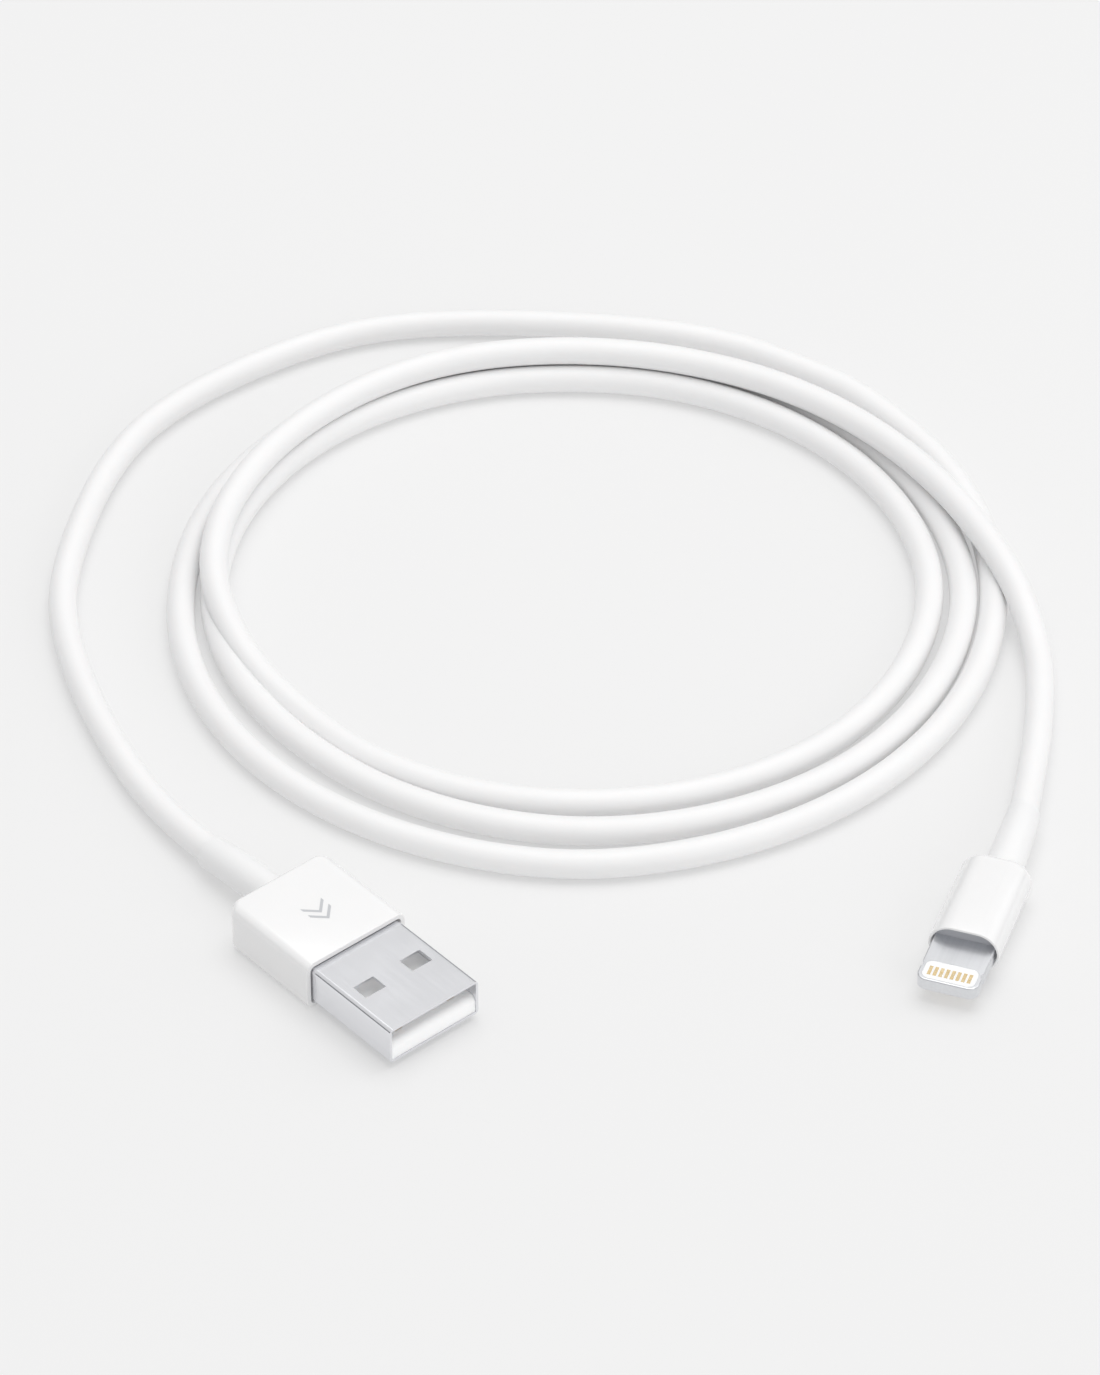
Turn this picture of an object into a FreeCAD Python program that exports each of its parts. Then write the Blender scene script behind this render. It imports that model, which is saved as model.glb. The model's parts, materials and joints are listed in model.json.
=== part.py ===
import FreeCAD, Part
import Sketcher

# Charging cable: a USB plug, a thin round cord in a loose coil, and a small device plug.
# Millimetres. +Z is up and the table is Z = 0. The origin is on the table, midway between
# the outer limits of the two plugs. Each plug is drawn in a frame of its own: X points out of
# the plug, Z is up, and the origin is on the table below the front edge of its housing.

import math
import os
import re

SIZES = {
    # where each plug lies, and which way it points
    "usb_x": -27.974,
    "usb_y": -5.787,
    "usb_heading": -49,
    "device_x": 35.74,
    "device_y": -3.54,
    "device_heading": -109.5,
    # cord
    "jacket_size": 3.2,
    "wire_size": 0.9,
    "coil_outer_radius": 47.8,
    "coil_outer_x": -2.98,
    "coil_outer_y": 58.26,
    "coil_inner_radius": 37.7,
    "coil_inner_x": -4.98,
    "coil_inner_y": 59.76,
    "coil_edge": 1.5,
    # USB plug housing
    "usb_width": 13.4,
    "usb_height": 6.1,
    "usb_length": 13.2,
    "usb_edge": 1.1,
    "usb_corner": 1.3,
    "usb_cavity_width": 12.2,
    "usb_cavity_height": 4.7,
    "rear_wall": 1.2,
    # metal shell and tongue
    "shell_width": 12.0,
    "shell_height": 4.5,
    "shell_reach": 12.6,
    "shell_inside": 4.4,
    "shell_wall": 0.3,
    "shell_edge": 0.5,
    "window_width": 2.7,
    "window_length": 2.1,
    "window_pitch": 6.3,
    "window_setback": 6.6,
    "tongue_thickness": 2.0,
    "tongue_setback": 0.08,
    "tongue_edge": 0.8,
    "tongue_gap": 0.03,
    "tongue_base_front": 3.2,
    "usb_contact_width": 1.0,
    "usb_contact_depth": 0.25,
    "usb_inner_pitch": 2.0,
    "usb_outer_pitch": 7.0,
    "usb_contact_setback": 1.5,
    "usb_contact_stagger": 1.0,
    "usb_contact_tip": 3.0,
    "usb_contact_tail": 0.4,
    # USB plug inside
    "can_wall": 0.25,
    "usb_can_length": 5.9,
    "usb_can_gap": 0.15,
    "usb_can_setback": 0.5,
    "usb_can_clearance": 0.1,
    "usb_mould_setback": 0.8,
    "usb_mould_width": 11.0,
    "usb_mould_height": 3.8,
    "usb_chamber_width": 9.0,
    "usb_chamber_height": 2.6,
    # strain relief sleeves and the ends of the jacket
    "usb_sleeve_length": 11.0,
    "usb_sleeve_front": 4.3,
    "usb_sleeve_rear": 3.9,
    "device_sleeve_length": 10.5,
    "device_sleeve_front": 4.3,
    "device_sleeve_rear": 3.7,
    "braid_size": 3.6,
    "braid_length": 0.7,
    "ferrule_size": 4.0,
    "jacket_inset": 0.9,
    # device plug housing
    "device_width": 7.8,
    "device_height": 5.1,
    "device_length": 13.0,
    "device_wall": 0.35,
    "device_recess": 0.7,
    "device_corner": 0.9,
    "mould_gap": 0.02,
    # metal tab and its insert
    "tab_width": 6.7,
    "tab_thickness": 1.5,
    "tab_reach": 6.65,
    "tab_corner": 1.1,
    "tab_edge": 0.15,
    "root_width": 6.0,
    "root_length": 3.9,
    "channel_setback": 1.0,
    "insert_width": 5.8,
    "insert_length": 2.8,
    "insert_corner": 0.8,
    "insert_setback": 0.3,
    "notch_radius": 0.5,
    "notch_depth": 0.3,
    "notch_setback": 2.4,
    "device_contact_width": 0.38,
    "device_contact_length": 1.4,
    "device_contact_depth": 0.2,
    "device_contact_pitch": 0.62,
    "device_contact_setback": 0.85,
    # device plug inside
    "board_width": 4.8,
    "board_thickness": 0.5,
    "board_slot": 0.04,
    "board_rear": 9.0,
    "device_can_width": 5.6,
    "device_can_height": 1.55,
    "device_can_length": 5.6,
    "device_can_gap": 0.2,
    "device_can_setback": 0.1,
    "chip_size": 2.2,
    "chip_height": 0.7,
    "chip_setback": 1.6,
    "power_chip_size": 1.8,
    "capacitor_length": 0.6,
    "capacitor_width": 0.3,
    "capacitor_pitch": 0.6,
    "capacitor_setback": 1.7,
    "capacitor_side": 1.4,
    "device_wire_size": 0.6,
}

CONTACTS_PER_SIDE = 8
WIRE_COLOURS = ("red", "white", "green", "black")

# The cord from the back of the USB sleeve to where its first full turn begins, and from where
# its last turn climbs over the others to the back of the device sleeve.
USB_TAIL = [
    (-43.85, 12.48, 3.05), (-49.1, 18.52, 3.05), (-56.78, 33.76, 1.6), (-61.68, 48.96, 1.6),
    (-62.88, 61.76, 1.6), (-58.48, 82.96, 1.6), (-50.58, 94.96, 1.6), (-34.48, 106.66, 1.6),
    (-20.48, 109.96, 1.6), (0.12, 108.86, 1.6), (13.62, 105.76, 1.6), (24.52, 98.76, 1.6),
]
DEVICE_TAIL = [
    (-31.88, 33.06, 1.6), (-42.48, 46.16, 2.2), (-46.48, 63.36, 4.7), (-39.38, 83.66, 4.8),
    (-22.98, 97.96, 4.8), (-1.58, 100.96, 4.8), (19.12, 94.46, 4.8), (34.32, 79.86, 4.8),
    (43.82, 59.86, 4.8), (46.82, 47.96, 1.7), (46.52, 38.26, 1.6), (46.088, 25.682, 2.55),
    (43.585, 18.612, 2.55),
]
ARC_SHARE = 0.45    # share of the shorter run that each arc of the cord takes up
BUNCH_SHARE = 0.72  # of a wire's diameter, from the cord's axis to the middle of each wire
BEND_SHARE = 0.3    # of a wire's length, from each end to where it bends
CAPACITORS = 3
PAST = 1.0          # how far a cutting tool runs beyond the solid it cuts
NEAR = 0.1          # how close an edge lies to a face that it belongs to
JOIN = 0.01         # overlap where two solids are joined into one

doc = FreeCAD.newDocument("charging_cable")
sheet = doc.addObject("Spreadsheet::Sheet", "sizes")
for row, (alias, value) in enumerate(SIZES.items(), 1):
    sheet.set(f"A{row}", alias)
    sheet.set(f"B{row}", str(value))
    sheet.setAlias(f"B{row}", alias)
doc.recompute()

pieces = []


def tie(formula):
    """A formula in sheet aliases, as an expression that FreeCAD can bind."""
    return re.sub(r"[a-z]\w+", lambda word: "sizes." + word[0], formula)


def amount(formula):
    """The value of a formula in sheet aliases, for shapes that are set directly."""
    return float(sheet.evalExpression(tie(formula).replace("sizes.", "")))


# Formulas that several pieces share. Heights are above the table.
USB_AXIS = "usb_height/2"
SHELL_LOW = "(usb_height - shell_height)/2"
SHELL_TOP = "(usb_height + shell_height)/2"
TONGUE_TOP = f"({SHELL_LOW} + shell_wall + tongue_gap + tongue_thickness)"
USB_BACK = "(usb_length - rear_wall)"
USB_JACKET_FRONT = f"({USB_BACK} - jacket_inset)"
DEVICE_AXIS = "device_height/2"
DEVICE_BACK = "(device_length - rear_wall)"
DEVICE_JACKET_FRONT = f"({DEVICE_BACK} - jacket_inset)"
TAB_LOW = "(device_height - tab_thickness)/2"
TAB_TOP = "(device_height + tab_thickness)/2"
ROOT_BACK = "(device_recess + root_length)"
CAN_FRONT = f"({ROOT_BACK} + device_can_setback)"
INSERT_MIDDLE = "(tab_reach - insert_setback - insert_length/2)"


def spread(width):
    """Two limits, half the width each side of a plug's axis."""
    return (f"-({width})/2", f"({width})/2")


def around(axis, height):
    """Two limits, half a height above and below an axis."""
    return (f"{axis} - ({height})/2", f"{axis} + ({height})/2")


def block(name, along, across, upright):
    """A box between two limits on each axis of its plug's frame."""
    solid = doc.addObject("Part::Box", name)
    limits = zip("xyz", ("Length", "Width", "Height"), (along, across, upright))
    for axis, side, (low, high) in limits:
        solid.setExpression(f"Placement.Base.{axis}", tie(low))
        solid.setExpression(side, tie(f"({high}) - ({low})"))
    return solid


def rod(name, axis, along, front, rear=None):
    """A round rod on a plug's axis, from its front diameter to its rear one."""
    kind = "Part::Cone" if rear else "Part::Cylinder"
    solid = doc.addObject(kind, name)
    near, far = along
    solid.Placement.Rotation = FreeCAD.Rotation(FreeCAD.Vector(0, 1, 0), 90)
    solid.setExpression("Placement.Base.x", tie(near))
    solid.setExpression("Placement.Base.z", tie(axis))
    solid.setExpression("Height", tie(f"({far}) - ({near})"))
    if rear:
        solid.setExpression("Radius1", tie(f"{rear}/2"))
        solid.setExpression("Radius2", tie(f"{front}/2"))
    else:
        solid.setExpression("Radius", tie(f"{front}/2"))
    return solid


def place(solid, plug):
    """Carry a finished piece from its plug's frame to where the plug lies."""
    turned = FreeCAD.Rotation(FreeCAD.Vector(0, 0, 1), 1)
    solid.Placement = FreeCAD.Placement(FreeCAD.Vector(), turned)
    solid.setExpression("Placement.Base.x", tie(f"{plug}_x"))
    solid.setExpression("Placement.Base.y", tie(f"{plug}_y"))
    solid.setExpression("Placement.Rotation.Angle", tie(f"{plug}_heading"))


def piece(label, plug, keep, cut=()):
    """One named sub-part: the kept solids joined, less the cut ones."""
    whole = keep[0]
    if len(keep) > 1:
        whole = doc.addObject("Part::MultiFuse", label + "_whole")
        whole.Shapes = keep
    if cut:
        tools = doc.addObject("Part::Compound", label + "_tools")
        tools.Links = list(cut)
        result = doc.addObject("Part::Cut", label)
        result.Base = whole
        result.Tool = tools
    else:
        result = doc.addObject("Part::Compound", label)
        result.Links = [whole]
    result.Label = label
    place(result, plug)
    pieces.append(result)
    return result


def body(label, plug=None):
    """A PartDesign body that is a named sub-part, or a tool where no label is kept."""
    new = doc.addObject("PartDesign::Body", label)
    new.Label = label
    if plug:
        place(new, plug)
        pieces.append(new)
    return new


def sketch(owner, name, role, offset="0"):
    """An empty sketch on one of the body's origin planes, moved along its normal."""
    new = owner.newObject("Sketcher::SketchObject", name)
    plane = next(p for p in owner.Origin.OriginFeatures if p.Role == role)
    new.AttachmentSupport = [(plane, "")]
    new.MapMode = "FlatFace"
    new.setExpression("AttachmentOffset.Base.z", tie(offset))
    return new


def bind(flat, kind, *ends, value):
    """Add one driving dimension to a sketch, tied to the sheet."""
    index = flat.addConstraint(Sketcher.Constraint(kind, *ends, 1.0))
    flat.setExpression(f"Constraints[{index}]", tie(value))


def rectangle(flat, across, upright):
    """Draw a rectangle between limits on the sketch's two axes."""
    first = flat.GeometryCount
    corners = [FreeCAD.Vector(*p) for p in ((-1, -1), (1, -1), (1, 1), (-1, 1))]
    for here, there in zip(corners, corners[1:] + corners[:1]):
        flat.addGeometry(Part.LineSegment(here, there))
    for side in range(4):
        there = first + (side + 1) % 4
        flat.addConstraint(Sketcher.Constraint("Coincident", first + side, 2, there, 1))
        flat.addConstraint(Sketcher.Constraint(("Horizontal", "Vertical")[side % 2], first + side))
    lowest, highest = zip(across, upright)
    for corner, limits in ((first, lowest), (first + 2, highest)):
        bind(flat, "DistanceX", -1, 1, corner, 1, value=limits[0])
        bind(flat, "DistanceY", -1, 1, corner, 1, value=limits[1])


def obround(flat, axis, width, height):
    """Draw a rounded bar: two flats joined by half circles, centred on the plug's axis."""
    first = flat.GeometryCount
    vector = FreeCAD.Vector
    right = Part.Circle(vector(1, 1), vector(0, 0, 1), 1)
    left = Part.Circle(vector(-1, 1), vector(0, 0, 1), 1)
    flat.addGeometry(Part.LineSegment(vector(-1, 0), vector(1, 0)))
    flat.addGeometry(Part.ArcOfCircle(right, -math.pi/2, math.pi/2))
    flat.addGeometry(Part.LineSegment(vector(1, 2), vector(-1, 2)))
    flat.addGeometry(Part.ArcOfCircle(left, math.pi/2, 1.5*math.pi))
    for side in range(4):
        there = first + (side + 1) % 4
        flat.addConstraint(Sketcher.Constraint("Tangent", first + side, 2, there, 1))
    flat.addConstraint(Sketcher.Constraint("Horizontal", first + 2))
    flat.addConstraint(Sketcher.Constraint("Symmetric", first, 1, first, 2, -2))
    bind(flat, "Radius", first + 1, value=f"({height})/2")
    bind(flat, "DistanceX", first, 1, first, 2, value=f"({width}) - ({height})")
    bind(flat, "DistanceY", -1, 1, first, 1, value=f"{axis} - ({height})/2")


def circle(flat, x, y, radius):
    """Draw one circle in a sketch."""
    index = flat.addGeometry(Part.Circle(FreeCAD.Vector(), FreeCAD.Vector(0, 0, 1), 1))
    bind(flat, "DistanceX", -1, 1, index, 3, value=x)
    bind(flat, "DistanceY", -1, 1, index, 3, value=y)
    bind(flat, "Radius", index, value=radius)


def pad(owner, flat, length):
    """Add material along the sketch's normal."""
    new = owner.newObject("PartDesign::Pad", flat.Name + "_pad")
    new.Profile = flat
    new.setExpression("Length", tie(length))
    doc.recompute()
    return new


def pocket(owner, flat, length=None):
    """Remove material against the sketch's normal, or all the way through both ways."""
    before = owner.Shape.Volume
    new = owner.newObject("PartDesign::Pocket", flat.Name + "_pocket")
    new.Profile = flat
    if length:
        new.setExpression("Length", tie(length))
    else:
        new.Type = "ThroughAll"
        new.Midplane = True
    doc.recompute()
    if not owner.Shape.Volume < before - 0.001:
        raise ValueError(new.Name + " removed nothing")
    return new


def edges(feature, wanted):
    """The names of a feature's edges that pass a test of their midpoint and direction."""
    names = []
    for index, edge in enumerate(feature.Shape.Edges, 1):
        middle = edge.valueAt((edge.FirstParameter + edge.LastParameter)/2)
        way = edge.tangentAt((edge.FirstParameter + edge.LastParameter)/2)
        if wanted(middle, way):
            names.append(f"Edge{index}")
    return names


def fillet(owner, feature, radius, wanted):
    """Round the edges of a feature that pass a test."""
    new = owner.newObject("PartDesign::Fillet", owner.Name + "_fillet")
    new.Base = (feature, edges(feature, wanted))
    new.setExpression("Radius", tie(radius))
    doc.recompute()
    return new


def runs_along_x(middle, way):
    """Whether an edge runs along its plug's axis."""
    return abs(way.x) > 0.99


def rounded_path(points):
    """Straight runs joined by tangent arcs, each as large as its two runs allow."""
    points = [FreeCAD.Vector(*p) for p in points]
    parts_of_path, radii, start = [], [], points[0]
    for before, corner, after in zip(points, points[1:], points[2:]):
        arrive = (corner - before).normalize()
        leave = (after - corner).normalize()
        half_turn = arrive.getAngle(leave)/2
        setback = ARC_SHARE*min((corner - before).Length, (after - corner).Length)
        radius = setback/math.tan(half_turn)
        inward = (leave - arrive).normalize()
        middle = corner + inward*(radius/math.cos(half_turn) - radius)
        entry, away = corner - arrive*setback, corner + leave*setback
        parts_of_path.append(Part.LineSegment(start, entry).toShape())
        parts_of_path.append(Part.Arc(entry, middle, away).toShape())
        radii.append(radius)
        start = away
    parts_of_path.append(Part.LineSegment(start, points[-1]).toShape())
    return Part.Wire(parts_of_path), radii


def tube(label, points, diameter, plug=None):
    """A round tube along a route, as a named sub-part."""
    path, radii = rounded_path(points)
    along = FreeCAD.Vector(*points[1]) - FreeCAD.Vector(*points[0])
    section = Part.Wire([Part.makeCircle(diameter/2, FreeCAD.Vector(*points[0]), along)])
    new = doc.addObject("Part::Feature", label)
    new.Shape = path.makePipeShell([section], True, True)
    new.Label = label
    if plug:
        place(new, plug)
    pieces.append(new)
    share = new.Shape.Volume/(math.pi*diameter**2/4*path.Length)
    if plug is None or abs(share - 1) > 0.005:
        print(f"{label}: length {path.Length:.1f}, volume/ideal {share:.4f}, radii",
              " ".join(f"{radius:.1f}" for radius in radii))


def usb_housing():
    """Moulded housing: one open cavity from the front, and a hole for the jacket."""
    shell = body("usb_housing", "usb")
    outline = sketch(shell, "usb_housing_outline", "YZ_Plane", "-usb_length")
    rectangle(outline, spread("usb_width"), ("0", "usb_height"))
    solid = pad(shell, outline, "usb_length")
    back = -SIZES["usb_length"]
    corners = fillet(shell, solid, "usb_corner",
                     lambda m, w: abs(w.z) > 0.99 and m.x < back + NEAR)
    fillet(shell, corners, "usb_edge", runs_along_x)
    mouth = sketch(shell, "usb_housing_mouth", "YZ_Plane")
    rectangle(mouth, spread("usb_cavity_width"), around(USB_AXIS, "usb_cavity_height"))
    pocket(shell, mouth, USB_BACK)
    gland = sketch(shell, "usb_housing_gland", "YZ_Plane")
    circle(gland, "0", USB_AXIS, "jacket_size/2")
    pocket(shell, gland, "usb_length")


def usb_shell():
    """Folded metal shell, open at both ends, with two windows above and two below."""
    shell = body("usb_shell", "usb")
    outline = sketch(shell, "usb_shell_outline", "YZ_Plane", "-shell_inside")
    rectangle(outline, spread("shell_width"), (SHELL_LOW, SHELL_TOP))
    solid = pad(shell, outline, "shell_inside + shell_reach")
    fillet(shell, solid, "shell_edge", runs_along_x)
    bore = sketch(shell, "usb_shell_bore", "YZ_Plane")
    rectangle(bore, spread("shell_width - 2*shell_wall"), around(USB_AXIS, "shell_height - 2*shell_wall"))
    pocket(shell, bore)
    windows = sketch(shell, "usb_shell_windows", "XY_Plane")
    middle = "shell_reach - window_setback"
    for side in (-1, 1):
        rectangle(windows, around(middle, "window_length"),
                  around(f"{side}*window_pitch/2", "window_width"))
    pocket(shell, windows)


def usb_contact(number):
    """One long strip: its tip is let into the tongue's top, and the rest runs below the face."""
    outer = number in (1, 4)
    pitch = "usb_outer_pitch" if outer else "usb_inner_pitch"
    side = 1 if number > 2 else -1
    across = around(f"{side}*{pitch}/2", "usb_contact_width")
    front = "shell_reach - usb_contact_setback" + ("" if outer else " - usb_contact_stagger")
    bend = "shell_reach - usb_contact_setback - usb_contact_tip"
    tip = block(f"usb_contact_tip_{number}", (bend, front), across,
                (f"{TONGUE_TOP} - usb_contact_depth - {JOIN}", TONGUE_TOP))
    strip = block(f"usb_contact_strip_{number}",
                  ("-shell_inside - usb_contact_tail", f"{bend} + usb_contact_depth"), across,
                  (f"{TONGUE_TOP} - 2*usb_contact_depth", f"{TONGUE_TOP} - usb_contact_depth"))
    return [tip, strip]


def usb_tongue():
    """Insulator: a thick base in the back of the shell and the flat tongue in its mouth."""
    tongue = body("usb_tongue_blank")
    inner = spread("shell_width - 2*shell_wall - 2*tongue_gap")
    floor = f"{SHELL_LOW} + shell_wall + tongue_gap"
    outline = sketch(tongue, "usb_tongue_outline", "YZ_Plane", "-shell_inside")
    rectangle(outline, inner, (floor, TONGUE_TOP))
    solid = pad(tongue, outline, "shell_inside + shell_reach - tongue_setback")
    front = SIZES["shell_reach"] - SIZES["tongue_setback"]
    top = amount(TONGUE_TOP)
    fillet(tongue, solid, "tongue_edge",
           lambda m, w: abs(w.y) > 0.99 and m.x > front - NEAR and m.z > top - NEAR)
    base = block("usb_tongue_base", ("-shell_inside", "tongue_base_front"), inner,
                 (f"{TONGUE_TOP} - {JOIN}", f"{SHELL_TOP} - shell_wall - tongue_gap"))
    slots = [solid for number in (1, 2, 3, 4) for solid in usb_contact(number)]
    piece("usb_tongue", "usb", [tongue, base], slots)
    for number in (1, 2, 3, 4):
        piece(f"usb_contact_{number}", "usb", usb_contact(number))


def can_half(label, plug, along, width, low, high, wall, opens_up):
    """Half of a metal shield: a channel that opens upwards or downwards."""
    outer = block(label + "_outer", along, spread(width), (low, high))
    inner_width = f"{width} - 2*{wall}"
    if opens_up:
        limits = (f"{low} + {wall}", f"{high} + {PAST}")
    else:
        limits = (f"{low} - {PAST}", f"{high} - {wall}")
    longer = (f"{along[0]} - {PAST}", f"{along[1]} + {PAST}")
    piece(label, plug, [outer], [block(label + "_inner", longer, spread(inner_width), limits)])


def usb_inside():
    """Shield halves and the hollow inner mould that guides the wires to the contacts."""
    rear = "-shell_inside - usb_contact_tail - usb_can_length"
    along = (rear, "-shell_inside - usb_can_setback")
    width = "usb_cavity_width - 2*usb_can_clearance"
    reach = "usb_cavity_height/2 - usb_can_clearance"
    can_half("usb_shield_upper", "usb", along, width, f"{USB_AXIS} + usb_can_gap/2",
             f"{USB_AXIS} + {reach}", "can_wall", False)
    can_half("usb_shield_lower", "usb", along, width, f"{USB_AXIS} - ({reach})",
             f"{USB_AXIS} - usb_can_gap/2", "can_wall", True)
    mould = block("usb_mould_outer", (rear, "-shell_inside - usb_mould_setback"),
                  spread("usb_mould_width"), around(USB_AXIS, "usb_mould_height"))
    chamber = block("usb_mould_chamber", (f"{rear} - {PAST}", f"-shell_inside - usb_mould_setback + {PAST}"),
                    spread("usb_chamber_width"), around(USB_AXIS, "usb_chamber_height"))
    piece("usb_inner_mould", "usb", [mould], [chamber])


def cord_end(plug, axis, back, jacket_front, length, sleeve_length):
    """What joins a plug to the cord: jacket end, braid, crimp ferrule and flexible sleeve."""
    rear = f"-{length} - {sleeve_length}"
    piece(f"{plug}_jacket_end", plug,
          [rod(f"{plug}_jacket", axis, (rear, f"-{jacket_front}"), "jacket_size")])
    ring = (f"-{jacket_front} - braid_length", f"-{jacket_front}")
    through = (f"-{back} - {PAST}", f"-{jacket_front} + {PAST}")
    piece(f"{plug}_braid_end", plug, [rod(f"{plug}_braid", axis, ring, "braid_size")],
          [rod(f"{plug}_braid_hole", axis, through, "jacket_size")])
    piece(f"{plug}_crimp_ferrule", plug, [rod(f"{plug}_ferrule", axis, ring, "ferrule_size")],
          [rod(f"{plug}_ferrule_hole", axis, through, "braid_size")])
    sleeve = rod(f"{plug}_sleeve_outer", axis, (rear, f"-{length}"),
                 f"{plug}_sleeve_front", f"{plug}_sleeve_rear")
    hole = rod(f"{plug}_sleeve_hole", axis, (f"{rear} - {PAST}", f"-{length} + {PAST}"), "jacket_size")
    piece(f"{plug}_sleeve", plug, [sleeve], [hole])


def wires(plug, start_x, end_x, axis, ends, end_z, diameter):
    """Four coloured wires, from a bunch in the end of the jacket out to their contacts."""
    bunch = BUNCH_SHARE*diameter
    bend = BEND_SHARE*(end_x - start_x)
    corners = ((-1, -1), (-1, 1), (1, 1), (1, -1))
    for colour, y, (dy, dz) in zip(WIRE_COLOURS, ends, corners):
        first = (start_x, dy*bunch, axis + dz*bunch)
        last = (end_x, y, end_z)
        points = [first, (start_x + bend, first[1], first[2]), (end_x - bend, y, end_z), last]
        tube(f"{plug}_wire_{colour}", points, diameter, plug)


def device_housing():
    """Moulded housing with a rounded-bar section, a thin front rim and rounded back."""
    shell = body("device_housing", "device")
    outline = sketch(shell, "device_housing_outline", "YZ_Plane", "-device_length")
    obround(outline, DEVICE_AXIS, "device_width", "device_height")
    solid = pad(shell, outline, "device_length")
    back = -SIZES["device_length"]
    fillet(shell, solid, "device_corner", lambda m, w: m.x < back + JOIN)
    mouth = sketch(shell, "device_housing_mouth", "YZ_Plane")
    wall = "2*device_wall"
    obround(mouth, DEVICE_AXIS, f"device_width - {wall}", f"device_height - {wall}")
    pocket(shell, mouth, DEVICE_BACK)
    gland = sketch(shell, "device_housing_gland", "YZ_Plane")
    circle(gland, "0", DEVICE_AXIS, "jacket_size/2")
    pocket(shell, gland, "device_length")


def device_mould(label, near, far, cut):
    """A plug of resin that fills the housing between two distances behind the rim."""
    mould = body(label + "_blank")
    outline = sketch(mould, label + "_outline", "YZ_Plane", f"-{far}")
    gap = "2*device_wall - 2*mould_gap"
    obround(outline, DEVICE_AXIS, f"device_width - {gap}", f"device_height - {gap}")
    pad(mould, outline, f"{far} - {near}")
    piece(label, "device", [mould], [cut])


def device_tab():
    """Metal tab: rounded tip, window for the insert, side notches, root in the front mould."""
    tab = body("device_tab_blank")
    outline = sketch(tab, "device_tab_outline", "XY_Plane", TAB_LOW)
    rectangle(outline, ("-device_recess", "tab_reach"), spread("tab_width"))
    solid = pad(tab, outline, "tab_thickness")
    tip = SIZES["tab_reach"]
    rounded = fillet(tab, solid, "tab_corner", lambda m, w: abs(w.z) > 0.99 and m.x > tip - NEAR)
    fillet(tab, rounded, "tab_edge", lambda m, w: m.x > 0 and abs(w.z) < 0.5)
    root = block("device_tab_root", (f"-{ROOT_BACK}", "-device_recess"), spread("root_width"),
                 (TAB_LOW, TAB_TOP))
    channel = block("device_tab_channel",
                    (f"-{ROOT_BACK} - {PAST}", "tab_reach - insert_setback - channel_setback"),
                    spread("board_width + 2*board_slot"),
                    around(DEVICE_AXIS, "board_thickness + 2*board_slot"))
    cuts = [insert_block("device_tab_window", "0", ("0", "device_height")), channel]
    for side in (-1, 1):
        notch = doc.addObject("Part::Cylinder", "device_tab_notch")
        notch.setExpression("Radius", tie("notch_radius"))
        notch.setExpression("Height", tie("device_height"))
        notch.setExpression("Placement.Base.x", tie("tab_reach - notch_setback"))
        notch.setExpression("Placement.Base.y",
                            tie(f"{side}*(tab_width/2 + notch_radius - notch_depth)"))
        cuts.append(notch)
    piece("device_tab", "device", [tab, root], cuts)


def insert_block(name, gap, upright):
    """The rounded block that fills the tab's window, less a gap all round."""
    insert = body(name)
    outline = sketch(insert, name + "_outline", "XY_Plane", upright[0])
    rectangle(outline, around(INSERT_MIDDLE, f"insert_length - 2*{gap}"),
              spread(f"insert_width - 2*{gap}"))
    solid = pad(insert, outline, f"{upright[1]} - ({upright[0]})")
    fillet(insert, solid, f"insert_corner - {gap}", lambda m, w: abs(w.z) > 0.99)
    return insert


def device_contact(side, number):
    """One short contact let into the insert's upper or lower face."""
    centre = f"({number} - {(CONTACTS_PER_SIDE + 1)/2})*device_contact_pitch"
    faces = {"top": (f"{TAB_TOP} - device_contact_depth", TAB_TOP),
             "bottom": (TAB_LOW, f"{TAB_LOW} + device_contact_depth")}
    front = "tab_reach - device_contact_setback"
    return block(f"device_strip_{side}_{number}", (f"{front} - device_contact_length", front),
                 around(centre, "device_contact_width"), faces[side])


def device_insert():
    """White insert that carries eight contacts above and eight below."""
    insert = insert_block("device_insert_blank", "mould_gap", (TAB_LOW, TAB_TOP))
    numbers = range(1, CONTACTS_PER_SIDE + 1)
    places = [(side, number) for side in ("top", "bottom") for number in numbers]
    slots = [device_contact(side, number) for side, number in places]
    slots.append(block("device_insert_slot", ("0", f"{INSERT_MIDDLE} + board_slot"),
                       spread("board_width + 2*board_slot"),
                       around(DEVICE_AXIS, "board_thickness + 2*board_slot")))
    piece("device_insert", "device", [insert], slots)
    for side, number in places:
        piece(f"device_contact_{side}_{number}", "device", [device_contact(side, number)])


def capacitor(step, board_top):
    """One of the small capacitors in a row beside the control chip."""
    rear = f"-board_rear + capacitor_setback + {step}*capacitor_pitch"
    return block(f"capacitor_{step}", (rear, f"{rear} + capacitor_width"),
                 ("capacitor_side", "capacitor_side + capacitor_length"),
                 (board_top, f"{board_top} + capacitor_width"))


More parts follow.
